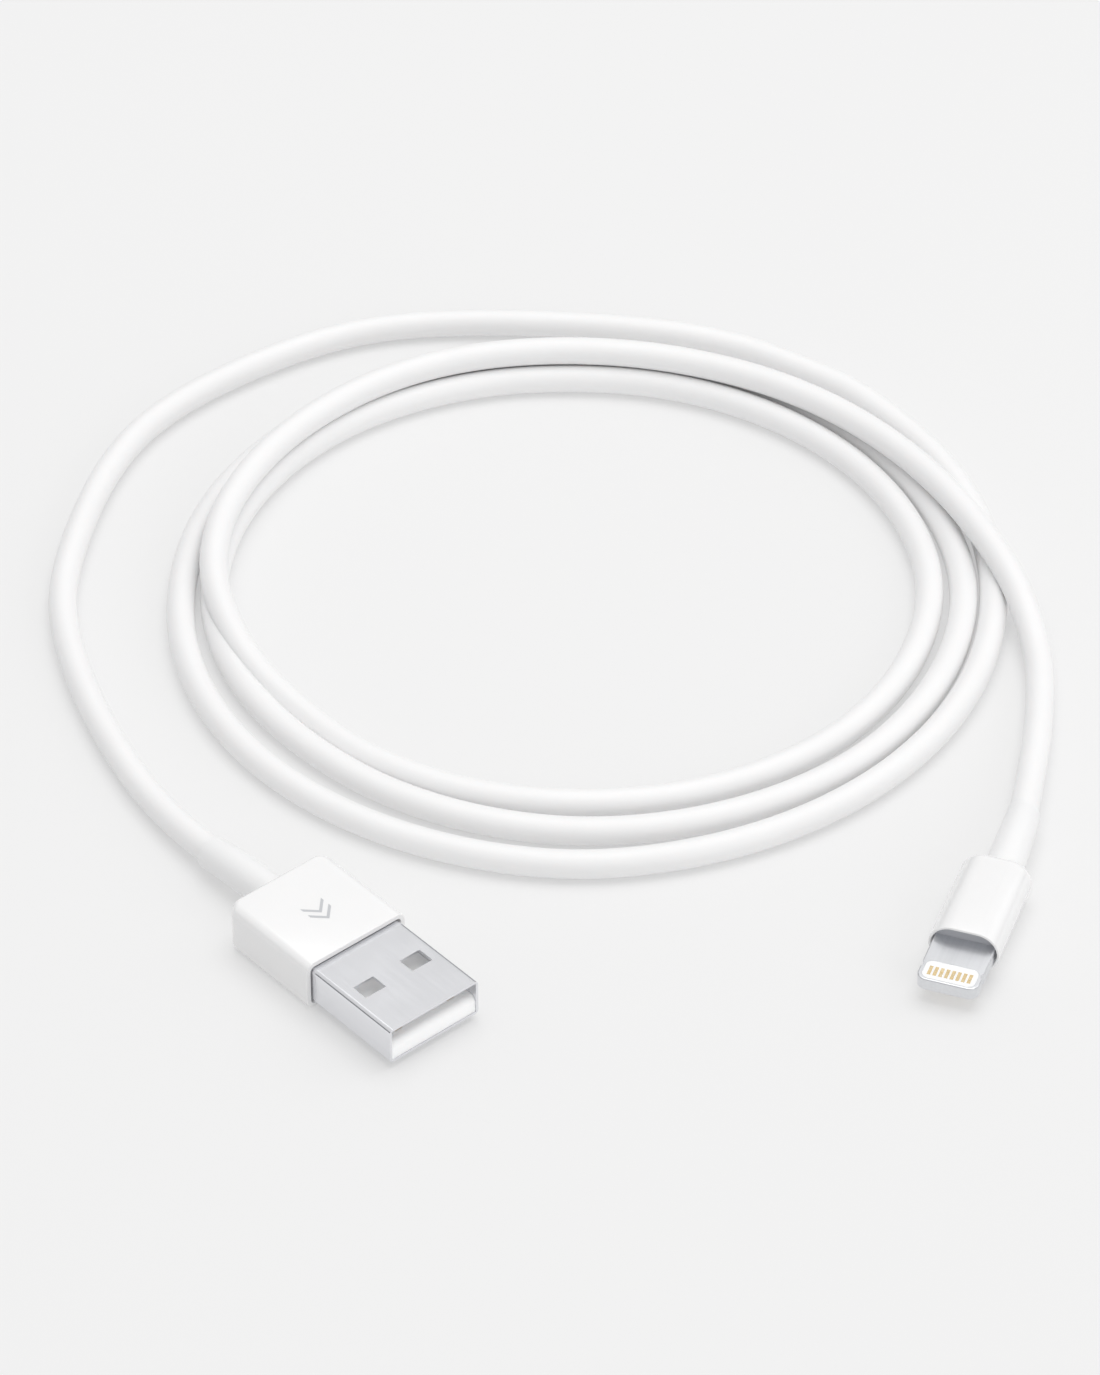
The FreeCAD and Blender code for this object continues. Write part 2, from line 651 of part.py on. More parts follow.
def device_inside():
    """Circuit board with its chips, shield halves and the two moulds."""
    board_top = f"{DEVICE_AXIS} + board_thickness/2"
    board_low = f"{DEVICE_AXIS} - board_thickness/2"
    board = block("board", ("-board_rear", INSERT_MIDDLE), spread("board_width"),
                  (board_low, board_top))
    piece("device_board", "device", [board])
    chip = ("-board_rear + chip_setback", "-board_rear + chip_setback + chip_size")
    piece("device_control_chip", "device",
          [block("control_chip", chip, spread("chip_size"), (board_top, f"{board_top} + chip_height"))])
    under = (f"{board_low} - chip_height", board_low)
    piece("device_power_chip", "device", [block("power_chip", chip, spread("power_chip_size"), under)])
    group = doc.addObject("Part::Compound", "capacitor_group")
    group.Links = [capacitor(step, board_top) for step in range(CAPACITORS)]
    piece("device_capacitors", "device", [group])
    along = (f"-{CAN_FRONT} - device_can_length", f"-{CAN_FRONT}")
    can_half("device_shield_upper", "device", along, "device_can_width", f"{DEVICE_AXIS} + device_can_gap/2",
             f"{DEVICE_AXIS} + device_can_height", "can_wall", False)
    can_half("device_shield_lower", "device", along, "device_can_width", f"{DEVICE_AXIS} - device_can_height",
             f"{DEVICE_AXIS} - device_can_gap/2", "can_wall", True)
    slot = block("front_mould_slot", (f"-{ROOT_BACK} - {PAST}", "0"), spread("root_width"),
                 (TAB_LOW, TAB_TOP))
    device_mould("device_front_mould", "device_recess", ROOT_BACK, slot)
    through = (f"-{DEVICE_BACK} - {PAST}", f"-{CAN_FRONT}")
    bore = rod("rear_mould_bore", DEVICE_AXIS, through, "ferrule_size")
    can_rear = f"({CAN_FRONT} + device_can_length + device_can_setback)"
    device_mould("device_rear_mould", can_rear, DEVICE_BACK, bore)


def cord_coil():
    """The turns that lie on the table, as one ring of their outer shape."""
    ring = body("cord_coil")
    pieces.append(ring)
    outline = sketch(ring, "cord_coil_outline", "XY_Plane")
    circle(outline, "coil_outer_x", "coil_outer_y", "coil_outer_radius")
    circle(outline, "coil_inner_x", "coil_inner_y", "coil_inner_radius")
    solid = pad(ring, outline, "jacket_size")
    fillet(ring, solid, "coil_edge", lambda m, w: abs(w.z) < 0.5)


usb_housing()
usb_shell()
usb_tongue()
usb_inside()
cord_end("usb", USB_AXIS, USB_BACK, USB_JACKET_FRONT, "usb_length", "usb_sleeve_length")
half_outer, half_inner = SIZES["usb_outer_pitch"]/2, SIZES["usb_inner_pitch"]/2
wires("usb", amount(f"-{USB_JACKET_FRONT}"), amount("-shell_inside - usb_can_setback"), amount(USB_AXIS),
      (-half_outer, -half_inner, half_inner, half_outer),
      amount(f"{TONGUE_TOP} - 1.5*usb_contact_depth"), SIZES["wire_size"])

device_housing()
device_tab()
device_insert()
device_inside()
cord_end("device", DEVICE_AXIS, DEVICE_BACK, DEVICE_JACKET_FRONT, "device_length", "device_sleeve_length")
pad_pitch = SIZES["board_width"]/4
wires("device", amount(f"-{DEVICE_JACKET_FRONT}"), amount("-board_rear"), amount(DEVICE_AXIS),
      (-1.5*pad_pitch, -0.5*pad_pitch, 0.5*pad_pitch, 1.5*pad_pitch), amount(DEVICE_AXIS),
      SIZES["device_wire_size"])

cord_coil()
tube("usb_cord_tail", USB_TAIL, SIZES["jacket_size"])
tube("device_cord_tail", DEVICE_TAIL, SIZES["jacket_size"])

doc.recompute()
for thing in doc.Objects:
    if {"Invalid", "Error"} & set(thing.State):
        raise ValueError(f"{thing.Name} failed: {thing.State}")
os.makedirs("parts", exist_ok=True)
for part in pieces:
    if part.Shape.isNull() or not part.Shape.isValid() or not part.Shape.Solids:
        raise ValueError(part.Label + " has no valid solid")
for part in pieces:
    part.Shape.exportStep(f"parts/{part.Label}.step")
print(len(pieces), "pieces")
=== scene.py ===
import json
import math

import bpy
from mathutils import Matrix, Vector


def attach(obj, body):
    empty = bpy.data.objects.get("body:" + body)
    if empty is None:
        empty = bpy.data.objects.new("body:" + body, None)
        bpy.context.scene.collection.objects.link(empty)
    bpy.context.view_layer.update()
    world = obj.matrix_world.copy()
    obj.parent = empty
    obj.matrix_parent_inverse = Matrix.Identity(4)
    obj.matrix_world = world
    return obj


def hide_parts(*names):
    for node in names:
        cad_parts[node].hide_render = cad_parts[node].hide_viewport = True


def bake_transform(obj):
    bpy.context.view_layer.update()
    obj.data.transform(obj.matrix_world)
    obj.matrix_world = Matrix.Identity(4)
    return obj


# A charging cable on a pale table: a USB plug, a long white cord in loose turns, and a small
# device plug. Metres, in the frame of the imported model: +Z is up and the table is Z = 0.

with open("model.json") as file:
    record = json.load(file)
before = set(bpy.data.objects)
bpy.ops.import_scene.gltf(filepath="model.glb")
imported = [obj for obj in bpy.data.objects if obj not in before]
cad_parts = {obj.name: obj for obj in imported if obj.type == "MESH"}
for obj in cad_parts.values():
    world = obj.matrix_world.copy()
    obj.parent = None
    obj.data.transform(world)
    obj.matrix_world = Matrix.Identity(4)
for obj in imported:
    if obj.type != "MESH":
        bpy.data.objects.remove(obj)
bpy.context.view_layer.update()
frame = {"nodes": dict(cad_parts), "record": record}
nodes = frame["nodes"]
mounts = {mount["name"]: mount for mount in frame["record"]["mounts"]}

MM = 0.001
CORD_DIAMETER = 3.2 * MM

# Both plugs, along their own axes from the front edge of the housing.
USB_REACH = 12.6 * MM
USB_SIZE = (13.4 * MM, 6.1 * MM)
USB_LENGTH = 13.2 * MM
USB_SLEEVE_LENGTH = 11.0 * MM
DEVICE_REACH = 6.65 * MM
DEVICE_SIZE = (7.8 * MM, 5.1 * MM)
DEVICE_LENGTH = 13.0 * MM
DEVICE_SLEEVE_LENGTH = 10.5 * MM

CORNER_STEPS = 10   # steps round each corner of a housing's section
LATHE_STEPS = 64    # steps round a sleeve
FRONT_LIP = 0.12 * MM  # rounding of a housing's front edge
GLAND = 1.7 * MM       # radius of the hole that the cord goes through


# ---------------------------------------------------------------- where the plugs lie

def plug_frame(mount_name, reach):
    """The matrix from a plug's own frame to the row's: X out of the plug, Z up, origin on the
    plug's axis at the front edge of its housing."""
    mount = mounts[mount_name]
    out = Vector(mount["axis"]).normalized()
    up = Vector((0, 0, 1))
    turn = Matrix((out, up.cross(out), up)).transposed().to_4x4()
    return Matrix.Translation(Vector(mount["pos_m"]) - out * reach) @ turn


USB = plug_frame("usb_insertion", USB_REACH)
DEVICE = plug_frame("device_insertion", DEVICE_REACH)


def heading(plug):
    """The direction a plug points in, as an angle about Z."""
    out = plug.col[0]
    return math.atan2(out.y, out.x)


# ---------------------------------------------------------------- camera

CAMERA_LENS = 165.1       # mm, on a frame 36 mm wide
CAMERA_ELEVATION = 39.337  # degrees above the table
CAMERA_DISTANCE = 0.7
CAMERA_TARGET = (-7.61, 43.01, 0)  # mm
CAMERA_STAND = (-8.63, 43.26, 0)   # mm, the point that the distance is measured from


def aim(thing, target):
    """Turn a camera or a light to look at a point."""
    thing.rotation_euler = (Vector(target) - thing.location).to_track_quat("-Z", "Y").to_euler()


def add_camera():
    """The photograph's view: from the front, 39 degrees down, through a long lens."""
    data = bpy.data.cameras.new("camera")
    data.lens = CAMERA_LENS
    data.sensor_width = 36
    data.clip_start = 0.01
    camera = bpy.data.objects.new("camera", data)
    bpy.context.scene.collection.objects.link(camera)
    elevation = math.radians(CAMERA_ELEVATION)
    back = Vector((0, -math.cos(elevation), math.sin(elevation)))
    camera.location = Vector(CAMERA_STAND) * MM + CAMERA_DISTANCE * back
    aim(camera, Vector(CAMERA_TARGET) * MM)
    bpy.context.scene.camera = camera


# ---------------------------------------------------------------- cord

# The cord from inside the USB sleeve to the first turn, and from the last turn, over the
# others, to inside the device sleeve. Millimetres.
USB_TAIL = [
    (-42.21, 10.59, 2.52), (-49.1, 18.52, 1.7), (-56.78, 33.76, 1.6), (-61.68, 48.96, 1.6),
    (-62.88, 61.76, 1.6), (-58.48, 82.96, 1.6), (-50.58, 94.96, 1.6), (-34.48, 106.66, 1.6),
    (-20.48, 109.96, 1.6), (0.12, 108.86, 1.6), (13.62, 105.76, 1.6), (24.52, 98.76, 1.6),
]
DEVICE_TAIL = [
    (-42.48, 46.16, 2.2), (-46.9, 63.36, 4.5), (-39.38, 83.66, 4.5),
    (-22.98, 97.96, 4.5), (-1.58, 100.96, 4.5), (19.12, 94.46, 4.5), (34.32, 79.86, 4.7),
    (43.82, 59.86, 4.8), (46.82, 47.96, 1.7), (46.52, 38.26, 1.6), (45.01, 27.14, 1.95),
    (42.97, 16.75, 2.39),
]

# The turns run clockwise from behind on the right. Their distances from the middle, at every
# eighth of a turn, in millimetres: loose turns that close up and fan out again.
COIL_CENTRE = (-5.13, 59.76)
COIL_START = 45
COIL_RADII = [
    48.5, 47.5, 48.0, 48.6, 46.5, 43.8, 42.8, 41.8,
    42.5, 44.2, 44.2, 43.1, 40.7, 40.3, 39.6, 38.5,
    39.2, 40.4, 39.8, 38.4, 37.8,
]
COIL_STEP = 15
TABLE_HEIGHT = 1.6  # of the centre of a cord that lies on the table


def coil_points():
    """Control points round the turns, set out so that the smooth line has the radii above."""
    points = []
    steps = 45 // COIL_STEP
    for step in range((len(COIL_RADII) - 1) * steps + 1):
        eighth, part = divmod(step, steps)
        after = COIL_RADII[min(eighth + 1, len(COIL_RADII) - 1)]
        radius = COIL_RADII[eighth] + (after - COIL_RADII[eighth]) * part / steps
        radius /= math.cos(math.radians(COIL_STEP / 2))
        angle = math.radians(COIL_START - step * COIL_STEP)
        points.append((COIL_CENTRE[0] + radius * math.cos(angle),
                       COIL_CENTRE[1] + radius * math.sin(angle), TABLE_HEIGHT))
    return points


def add_cord(finish):
    """The whole cord as one smooth line."""
    route = USB_TAIL + coil_points() + DEVICE_TAIL
    curve = bpy.data.curves.new("cord_jacket", "CURVE")
    curve.dimensions = "3D"
    spline = curve.splines.new("NURBS")
    spline.points.add(len(route) - 1)
    for point, place in zip(spline.points, route):
        point.co = (place[0] * MM, place[1] * MM, place[2] * MM, 1)
    spline.order_u = 3
    spline.use_endpoint_u = True
    spline.resolution_u = 12
    curve.bevel_depth = CORD_DIAMETER / 2
    curve.bevel_resolution = 10
    curve.use_fill_caps = True
    curve.materials.append(finish)
    cord = bpy.data.objects.new("cord_jacket", curve)
    bpy.context.scene.collection.objects.link(cord)
    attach(cord, "cord")
    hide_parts("usb_cord_tail", "cord_coil", "device_cord_tail")
    return cord


# ---------------------------------------------------------------- mesh helpers

def mesh_piece(name, vertices, faces, finish, sharp=40):
    """A new smooth-shaded mesh with hard edges where its faces turn by more than an angle."""
    mesh = bpy.data.meshes.new(name)
    mesh.from_pydata([tuple(v) for v in vertices], [], faces)
    mesh.validate()
    mesh.shade_smooth()
    mesh.set_sharp_from_angle(angle=math.radians(sharp))
    mesh.materials.append(finish)
    piece = bpy.data.objects.new(name, mesh)
    bpy.context.scene.collection.objects.link(piece)
    return piece


def section(x, half_width, half_height, corner):
    """A rounded rectangle across a plug's axis, as a list of points."""
    points = []
    for quarter in range(4):
        side, rise = ((1, 1), (-1, 1), (-1, -1), (1, -1))[quarter]
        centre = Vector((x, side * (half_width - corner), rise * (half_height - corner)))
        for step in range(CORNER_STEPS + 1):
            angle = math.pi / 2 * (quarter + step / CORNER_STEPS)
            points.append(centre + corner * Vector((0, math.cos(angle), math.sin(angle))))
    return points


def loft(rings, closed=False):
    """Vertices and faces of a skin over rings of points; closed joins the last to the first."""
    count = len(rings[0])
    vertices = [point for ring in rings for point in ring]
    faces = []
    for index in range(len(rings) if closed else len(rings) - 1):
        here = index * count
        there = (index + 1) % len(rings) * count
        for step in range(count):
            after = (step + 1) % count
            faces.append((here + step, here + after, there + after, there + step))
    return vertices, faces


def circle(x, radius):
    """A circle across a plug's axis."""
    turn = 2 * math.pi / LATHE_STEPS
    return [Vector((x, radius * math.cos(turn * k), radius * math.sin(turn * k)))
            for k in range(LATHE_STEPS)]


def quarter_steps(count):
    """Fractions (1 - cos, sin) of a quarter turn, for rounding over an edge."""
    return [(1 - math.cos(math.pi / 2 * k / count), math.sin(math.pi / 2 * k / count))
            for k in range(count + 1)]


def in_row(plug, vertices):
    """Points of a plug's own frame, carried to the row's."""
    return [plug @ v for v in vertices]


# ---------------------------------------------------------------- housings

def rounded_off(radius, distance):
    """How much a rounded edge takes off, at a distance from the face where it ends."""
    return radius - math.sqrt(radius**2 - max(0, radius - distance)**2)


def housing_rings(length, size, corner, plan_corner, rear, back, cavity, cavity_corner, rim, depth):
    """Closed rings of a hollow housing: front lip, outside, rounded rear, hole for the cord,
    inside of the rear wall, cavity, and the slope from the cavity out to the rim."""
    half_width, half_height = size[0] / 2, size[1] / 2
    rings = []
    for along, out in quarter_steps(4):
        gone = FRONT_LIP * (1 - out)
        rings.append(section(-FRONT_LIP * along, half_width - gone, half_height - gone, corner - gone))
    for along, out in quarter_steps(14):
        distance = plan_corner * (1 - out)
        gone = rounded_off(rear, distance)
        rings.append(section(-length + distance, half_width - plan_corner * along, half_height - gone,
                             corner - gone))
    rings.append(section(-length, GLAND, GLAND, GLAND * 0.99))
    rings.append(section(-back, GLAND, GLAND, GLAND * 0.99))
    rings.append(section(-back, cavity[0] / 2, cavity[1] / 2, cavity_corner))
    rings.append(section(-depth, cavity[0] / 2, cavity[1] / 2, cavity_corner))
    rings.append(section(0, half_width - rim, half_height - rim, corner - rim))
    return rings


def add_usb_housing(finish):
    """The USB plug's glossy housing."""
    rings = housing_rings(USB_LENGTH, USB_SIZE, 1.1 * MM, 1.3 * MM, 0.45 * MM,
                          12.0 * MM, (12.2 * MM, 4.7 * MM), 0.3 * MM, 0.55 * MM, 0.15 * MM)
    vertices, faces = loft(rings, closed=True)
    piece = mesh_piece("usb_housing_skin", in_row(USB, vertices), faces, finish)
    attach(piece, "usb_plug")
    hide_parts("usb_housing")
    return piece


def add_device_housing(finish):
    """The device plug's glossy housing, a rounded bar."""
    rings = housing_rings(DEVICE_LENGTH, DEVICE_SIZE, 2.545 * MM, 0.9 * MM, 0.9 * MM,
                          11.8 * MM, (7.1 * MM, 4.4 * MM), 2.195 * MM, 0.25 * MM, 0.2 * MM)
    vertices, faces = loft(rings, closed=True)
    piece = mesh_piece("device_housing_skin", in_row(DEVICE, vertices), faces, finish)
    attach(piece, "device_plug")
    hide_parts("device_housing")
    return piece


# ---------------------------------------------------------------- sleeves

SLEEVE_LIP = 0.12 * MM
SLEEVE_INSIDE = 2.5 * MM  # how far the cord goes into a sleeve
SLEEVE_STEPS = 24         # spans along a sleeve
CORE_STEPS = 20           # spans along the jacket inside it

# How each sleeve lies, in millimetres: sideways at the housing, then sideways in proportion to
# the distance along it, sideways and upwards in proportion to that distance squared.
USB_BOW = (0, 0, 0, -0.7)
DEVICE_BOW = (0.4, -0.3, -0.25, -0.25)


def sleeve_profile(length, sleeve_length, front, rear):
    """Outline of a sleeve, as distance along the plug's axis and radius, once round."""
    root = -length + 0.6 * MM
    tail = -length - sleeve_length
    outline = [(root, front)]
    outline += [(-length - step / SLEEVE_STEPS * (sleeve_length - SLEEVE_LIP),
                 front + (rear - front) * step / SLEEVE_STEPS) for step in range(SLEEVE_STEPS + 1)]
    outline += [(tail + SLEEVE_LIP * (1 - out), rear - SLEEVE_LIP * along)
                for along, out in quarter_steps(5)[1:]]
    bore = CORD_DIAMETER / 2 + 0.02 * MM
    outline += [(tail + step / SLEEVE_STEPS * (root - tail), bore) for step in range(SLEEVE_STEPS + 1)]
    return outline


def bowed(vertices, length, sleeve_length, bow):
    """Points behind a housing, moved sideways and downwards as the soft sleeve lies."""
    side, lean, sway, drop = bow
    moved = []
    for point in vertices:
        share = max(0, -length - point.x) / sleeve_length
        moved.append(point + Vector((0, side + lean * share + sway * share**2, drop * share**2)) * MM)
    return moved


def add_sleeve(name, plug, length, sleeve_length, front, rear, bow, finish, jacket):
    """A strain relief sleeve, and the end of the jacket inside it, both bowed the same way."""
    outline = sleeve_profile(length, sleeve_length, front / 2, rear / 2)
    vertices, faces = loft([circle(x, radius) for x, radius in outline], closed=True)
    vertices = bowed(vertices, length, sleeve_length, bow)
    sleeve = mesh_piece(f"{name}_sleeve_skin", in_row(plug, vertices), faces, finish)
    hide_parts(f"{name}_sleeve")
    tail = -length - sleeve_length + SLEEVE_INSIDE
    nose = -length + 2.1 * MM
    radius = CORD_DIAMETER / 2 - 0.01 * MM
    rings = [circle(tail, radius * 0.6)]
    rings += [circle(tail + step / CORE_STEPS * (nose - tail), radius)
              for step in range(CORE_STEPS + 1)]
    rings.append(circle(nose, radius * 0.6))
    vertices, faces = loft(rings)
    vertices = bowed(vertices, length, sleeve_length, bow)
    last = len(vertices) - LATHE_STEPS
    faces.append(tuple(range(LATHE_STEPS)))
    faces.append(tuple(range(last, last + LATHE_STEPS)))
    core = mesh_piece(f"{name}_jacket_core", in_row(plug, vertices), faces, jacket)
    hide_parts(f"{name}_jacket_end")
    for piece in (sleeve, core):
        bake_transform(piece)
    return [sleeve, core]


def soften(node, width):
    """Round the hard edges of a piece by a small radius."""
    bevel = node.modifiers.new("soften", "BEVEL")
    bevel.width = width
    bevel.segments = 3
    bevel.limit_method = "ANGLE"
    bevel.angle_limit = math.radians(50)
    bevel.harden_normals = True


# ---------------------------------------------------------------- mark

def add_mark(finish):
    """A plain printed mark on the USB housing: two chevrons that point out of the plug."""
    top = USB_SIZE[1] / 2
    stroke, arm, step = 0.45 * MM, 1.4 * MM, 1.25 * MM
    forward = 0.95 * MM  # of the middle of the housing
    vertices, faces = [], []
    for place in (-0.5, 0.5):
        tip = -USB_LENGTH / 2 + forward + place * step + arm / 2
        outline = [(tip, 0), (tip - arm, arm), (tip - arm - stroke, arm), (tip - stroke, 0),
                   (tip - arm - stroke, -arm), (tip - arm, -arm)]
        first = len(vertices)
        for height in (top - 0.03 * MM, top + 0.012 * MM):
            vertices += [Vector((x, y, height)) for x, y in outline]
        upper = first + 6
        faces.append((upper, upper + 1, upper + 2, upper + 3))
        faces.append((upper, upper + 3, upper + 4, upper + 5))
        faces.append((first + 3, first + 2, first + 1, first))
        faces.append((first + 5, first + 4, first + 3, first))
        for k in range(6):
            after = (k + 1) % 6
            faces.append((first + k, first + after, upper + after, upper + k))
    piece = mesh_piece("usb_mark", in_row(USB, vertices), faces, finish)
    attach(piece, "usb_plug")


# ---------------------------------------------------------------- materials

class Shader:
    """A material's node tree, with short calls for the nodes that these finishes share."""

    def __init__(self, name):
        self.material = bpy.data.materials.new(name)
        self.material.use_nodes = True
        self.tree = self.material.node_tree
        self.surface = self.tree.nodes["Principled BSDF"]
        self.place = self.node("ShaderNodeTexCoord").outputs["Object"]

    def node(self, kind, inputs=(), **settings):
        new = self.tree.nodes.new(kind)
        for key, value in settings.items():
            setattr(new, key, value)
        for key, value in dict(inputs).items():
            if isinstance(value, bpy.types.NodeSocket):
                self.tree.links.new(value, new.inputs[key])
            else:
                new.inputs[key].default_value = value
        return new

    def along(self, angle, scale):
        """Coordinates turned so that X runs along a plug, and stretched."""
        turned = self.node("ShaderNodeVectorRotate", {"Vector": self.place, "Angle": -angle},
                           rotation_type="Z_AXIS")
        return self.node("ShaderNodeMapping", {"Vector": turned.outputs[0], "Scale": scale}).outputs[0]

    def noise(self, scale, detail=3, place=None):
        return self.node("ShaderNodeTexNoise", {"Vector": place or self.place, "Scale": scale,
                                                "Detail": detail}).outputs["Fac"]

    def spread(self, value, low, high, between=(0.35, 0.65)):
        """A value turned into a range of numbers."""
        return self.node("ShaderNodeMapRange", {"Value": value, "From Min": between[0],
                                                "From Max": between[1], "To Min": low,
                                                "To Max": high}).outputs["Result"]

    def mix(self, share, first, second):
        mixer = self.node("ShaderNodeMix", data_type="RGBA")
        for key, value in (("Factor", share), (6, first), (7, second)):
            socket = mixer.inputs[key if isinstance(key, int) else 0]
            if isinstance(value, bpy.types.NodeSocket):
                self.tree.links.new(value, socket)
            else:
                socket.default_value = value if isinstance(value, (int, float)) else (*value, 1)
        return mixer.outputs[2]

    def bump(self, height, distance, under=None):
        """Relief of a real depth, on top of any other relief."""
        inputs = {"Height": height, "Distance": distance, "Strength": 1.0}
        if under:
            inputs["Normal"] = under
        return self.node("ShaderNodeBump", inputs).outputs["Normal"]

    def set(self, **values):
        """Set or link the surface's inputs, by name with _ for a space."""
        for key, value in values.items():
            socket = self.surface.inputs[key.replace("_", " ")]
            if isinstance(value, bpy.types.NodeSocket):
                self.tree.links.new(value, socket)
            elif isinstance(value, tuple) and len(value) == 3 and len(socket.default_value) == 4:
                socket.default_value = (*value, 1)
            else:
                socket.default_value = value
        return self.material


def moulded(name, colour, shade, roughness, grain, depth, coat=0.0, glow=0.0, painted_glow=0.0):
    """Moulded plastic or rubber: slight flow marks, fine grain and uneven gloss. glow is light
    that scatters under the surface, and the last argument is a painted glow: light that the surface
    gives off though it is no lamp."""
    s = Shader(name)
    flow = s.noise(90, 2)
    fine = s.noise(1 / grain, 4)
    low, high = roughness
    return s.set(
        Base_Color=s.mix(s.spread(flow, 0, 1), colour, shade),
        Roughness=s.spread(s.noise(600, 3), low, high),
        Normal=s.bump(fine, depth, s.bump(flow, depth * 4)),
        Coat_Weight=coat,
        Coat_Roughness=0.08,
        Subsurface_Weight=glow,
        Subsurface_Radius=(1.0, 0.9, 0.85),
        Subsurface_Scale=0.0012,
        Emission_Color=(1.0, 1.0, 1.0),
        Emission_Strength=painted_glow,
    )


def brushed(name, colour, shade, roughness, angle, lines):
    """Plated sheet metal with fine lines along the plug and a slightly uneven gloss."""
    s = Shader(name)
    streak = s.noise(1.0, 4, s.along(angle, lines))
    return s.set(
        Base_Color=s.mix(s.spread(streak, 0, 1), colour, shade),
        Metallic=1.0,
        Roughness=s.spread(s.noise(180, 2), *roughness),
        Normal=s.bump(streak, 5e-7),
    )


def gold(name):
    """Thin gold plating, rubbed paler where it has been plugged in."""
    s = Shader(name)
    wear = s.spread(s.noise(2200, 4), 0, 1, (0.5, 0.72))
    return s.set(
        Base_Color=s.mix(wear, (0.76, 0.59, 0.33), (0.80, 0.68, 0.46)),
        Metallic=1.0,
        Roughness=s.spread(s.noise(5000, 3), 0.26, 0.42),
        Normal=s.bump(s.noise(9000, 3), 1.5e-6),
    )


def braid(name):
    """Tinned wire braid: two sets of strands that cross."""
    s = Shader(name)
    waves = [s.node("ShaderNodeTexWave", {"Vector": s.node("ShaderNodeMapping", {
        "Vector": s.place, "Rotation": (0.4, lean, lean)}).outputs[0], "Scale": 1200.0,
        "Distortion": 0.6}).outputs["Fac"] for lean in (0.6, -0.6)]
    cross = s.node("ShaderNodeMath", {0: waves[0], 1: waves[1]}, operation="MAXIMUM").outputs[0]
    return s.set(
        Base_Color=s.mix(cross, (0.32, 0.32, 0.33), (0.74, 0.74, 0.76)),
        Metallic=1.0,
        Roughness=s.spread(cross, 0.5, 0.3, (0, 1)),
        Normal=s.bump(cross, 4e-5),
    )


def board(name):
    """Green solder mask with paler tracks under it."""
    s = Shader(name)
    tracks = s.node("ShaderNodeTexBrick", {"Vector": s.place, "Scale": 900.0, "Mortar Size": 0.12,
                                           "Color1": (0, 0, 0, 1), "Color2": (0, 0, 0, 1),
                                           "Mortar": (1, 1, 1, 1)}).outputs["Fac"]
    return s.set(
        Base_Color=s.mix(tracks, (0.02, 0.13, 0.06), (0.05, 0.25, 0.12)),
        Roughness=s.spread(s.noise(3000, 3), 0.25, 0.4),
        Normal=s.bump(tracks, 2e-5),
        Coat_Weight=0.4,
    )


def capacitor(name, angle):
    """Brown ceramic with tinned ends."""
    s = Shader(name)
    across = s.node("ShaderNodeSeparateXYZ", {"Vector": s.along(angle, (1, 1, 1))}).outputs["Y"]
    counted = s.node("ShaderNodeMath", {0: across, 1: 900.0}, operation="MULTIPLY").outputs[0]
    band = s.node("ShaderNodeMath", {0: counted}, operation="FRACT").outputs[0]
    ends = s.spread(band, 0, 1, (0.6, 0.65))
    return s.set(
        Base_Color=s.mix(ends, (0.42, 0.27, 0.15), (0.7, 0.7, 0.7)),
        Metallic=ends,
        Roughness=s.spread(s.noise(4000, 3), 0.35, 0.55),
        Normal=s.bump(s.noise(8000, 3), 4e-6),
    )


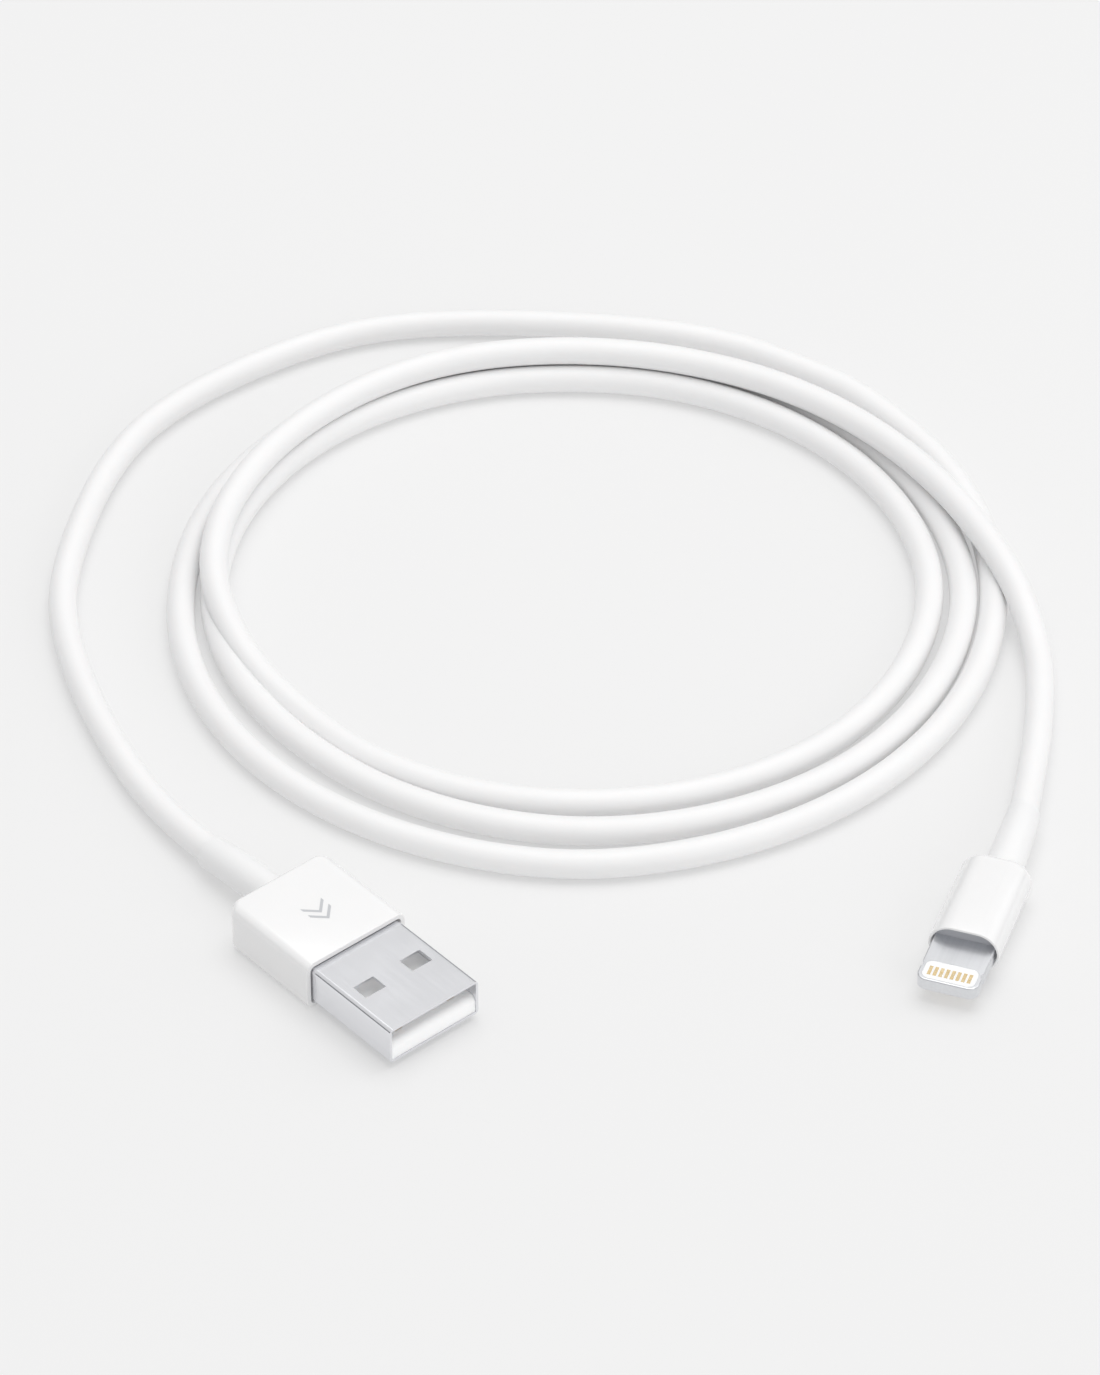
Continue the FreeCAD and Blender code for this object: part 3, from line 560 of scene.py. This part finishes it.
def add_finishes():
    """Every finish of the object, by the record's slot."""
    usb_angle, device_angle = heading(USB), heading(DEVICE)
    lines = (60, 2600, 2600)
    finishes = {
        "white_jacket": moulded("jacket_rubber", (0.885, 0.883, 0.884), (0.875, 0.873, 0.874),
                                (0.42, 0.52), 0.00012, 1.5e-6, glow=0.15),
        "white_housing": moulded("housing_plastic", (0.895, 0.892, 0.892), (0.885, 0.882, 0.882),
                                 (0.18, 0.24), 0.0004, 8e-7, coat=0.4, glow=0.1),
        "white_sleeve": moulded("sleeve_rubber", (0.90, 0.898, 0.898), (0.89, 0.888, 0.888),
                                (0.40, 0.50), 0.00012, 1.5e-6, glow=0.15),
        # The insulator gives off a little light of its own. This painted glow brightens its top in the
        # shade under the shell's lip.
        "white_insulator": moulded("insulator_plastic", (0.95, 0.95, 0.95), (0.94, 0.94, 0.94),
                                   (0.34, 0.42), 0.00015, 1e-6, glow=0.3, painted_glow=0.1),
        "plated_shell": brushed("shell_plating", (0.83, 0.835, 0.86), (0.81, 0.815, 0.84),
                                (0.20, 0.24), usb_angle, lines),
        "plated_tab": brushed("tab_plating", (0.76, 0.77, 0.79), (0.73, 0.74, 0.76),
                              (0.30, 0.38), device_angle, lines),
        "gold_contact": gold("contact_gold"),
        "tinned_can": brushed("can_tin", (0.62, 0.63, 0.64), (0.56, 0.57, 0.58), (0.35, 0.5),
                              usb_angle, lines),
        "tinned_braid": braid("braid_tin"),
        "grey_resin": moulded("mould_resin", (0.50, 0.51, 0.54), (0.46, 0.47, 0.50),
                              (0.45, 0.55), 0.0001, 3e-6),
        "clear_mould": moulded("inner_resin", (0.75, 0.76, 0.74), (0.70, 0.71, 0.70),
                               (0.3, 0.4), 0.0002, 2e-6),
        "circuit_board": board("board_mask"),
        "black_chip": moulded("chip_epoxy", (0.015, 0.015, 0.016), (0.025, 0.025, 0.026),
                              (0.5, 0.6), 0.00005, 4e-6),
        "ceramic_capacitor": capacitor("capacitor_ceramic", device_angle),
    }
    for colour, light, dark in (("red", (0.55, 0.02, 0.02), (0.48, 0.02, 0.02)),
                                ("white", (0.8, 0.8, 0.78), (0.74, 0.74, 0.72)),
                                ("green", (0.02, 0.30, 0.06), (0.02, 0.25, 0.05)),
                                ("black", (0.02, 0.02, 0.02), (0.03, 0.03, 0.03))):
        finishes[f"{colour}_wire"] = moulded(f"wire_{colour}", light, dark, (0.35, 0.45), 0.0001, 1e-6)
    for node in nodes.values():
        for place in node.material_slots:
            place.material = finishes[place.material.name]
    return finishes


# ---------------------------------------------------------------- table and light

def add_table():
    """A plain pale table top that gives off some light itself, so that shadows on it stay faint."""
    mesh = bpy.data.meshes.new("table")
    reach = 2.5
    mesh.from_pydata([(-reach, -reach, 0), (reach, -reach, 0), (reach, reach, 0), (-reach, reach, 0)],
                     [], [(0, 1, 2, 3)])
    table = bpy.data.objects.new("table", mesh)
    bpy.context.scene.collection.objects.link(table)
    s = Shader("table_top")
    mesh.materials.append(s.set(
        Base_Color=s.mix(s.spread(s.noise(3, 2), 0, 1), (0.52, 0.52, 0.52), (0.515, 0.515, 0.515)),
        Roughness=0.9,
        Specular_IOR_Level=0.0,
        Emission_Color=(1.0, 1.0, 1.0),
        Emission_Strength=0.33,
    ))


def add_light(name, location, target, size, power):
    """A square white soft box that looks at a point."""
    data = bpy.data.lights.new(name, "AREA")
    data.size = size
    data.energy = power
    light = bpy.data.objects.new(name, data)
    bpy.context.scene.collection.objects.link(light)
    light.location = location
    aim(light, target)


def add_world():
    """A white studio: bright overhead and greyer towards the horizon. Reflections see a second
    sky, which is dark at the horizon and below it."""
    world = bpy.data.worlds.new("studio")
    bpy.context.scene.world = world
    world.use_nodes = True
    tree = world.node_tree
    place = tree.nodes.new("ShaderNodeTexCoord")
    split = tree.nodes.new("ShaderNodeSeparateXYZ")
    tree.links.new(place.outputs["Generated"], split.inputs[0])
    skies = []
    for stops in (((0.0, 0.63, 0.635, 0.645), (0.9, 0.99, 0.985, 0.98)),
                  ((0.0, 0.04, 0.045, 0.055), (0.2, 0.14, 0.15, 0.17), (0.45, 1.0, 1.0, 1.0))):
        ramp = tree.nodes.new("ShaderNodeValToRGB")
        tree.links.new(split.outputs["Z"], ramp.inputs[0])
        marks = ramp.color_ramp.elements
        while len(marks) < len(stops):
            marks.new(0.5)
        for mark, (position, *colour) in zip(marks, stops):
            mark.position = position
            mark.color = (*colour, 1)
        skies.append(ramp.outputs[0])
    mixer = tree.nodes.new("ShaderNodeMix")
    mixer.data_type = "RGBA"
    path = tree.nodes.new("ShaderNodeLightPath")
    tree.links.new(path.outputs["Is Glossy Ray"], mixer.inputs[0])
    tree.links.new(skies[0], mixer.inputs[6])
    tree.links.new(skies[1], mixer.inputs[7])
    tree.links.new(mixer.outputs[2], tree.nodes["Background"].inputs["Color"])
    tree.nodes["Background"].inputs["Strength"].default_value = 0.75


def add_studio():
    """Table, soft boxes and world."""
    add_table()
    add_world()
    add_light("overhead", (0.1, 0.25, 1.3), (0, 0.05, 0), 1.2, 7.8)
    add_light("right", (1.05, 0.3, 0.55), (0.03, 0.02, 0), 0.8, 1.2)
    add_light("front", (0.62, -0.85, 0.36), (0, 0, 0), 0.6, 1.6)
    bpy.context.scene.view_settings.view_transform = "Standard"


# ---------------------------------------------------------------- the scene

add_camera()
finishes = add_finishes()
cord = add_cord(finishes["white_jacket"])
on_cord = [add_usb_housing(finishes["white_housing"]), add_device_housing(finishes["white_housing"])]
on_cord += add_sleeve("usb", USB, USB_LENGTH, USB_SLEEVE_LENGTH, 4.3 * MM, 3.9 * MM,
                      USB_BOW, finishes["white_sleeve"], finishes["white_jacket"])
on_cord += add_sleeve("device", DEVICE, DEVICE_LENGTH, DEVICE_SLEEVE_LENGTH,
                      4.3 * MM, 3.7 * MM, DEVICE_BOW, finishes["white_sleeve"], finishes["white_jacket"])
for name, width in (("usb_shell", 0.13), ("usb_tongue", 0.08), ("device_tab", 0.08),
                    ("device_insert", 0.1)):
    soften(nodes[name], width * MM)
    on_cord.append(nodes[name])
add_mark(moulded("mark_ink", (0.56, 0.57, 0.59), (0.54, 0.55, 0.57), (0.4, 0.5), 0.0001, 1e-6))
add_studio()
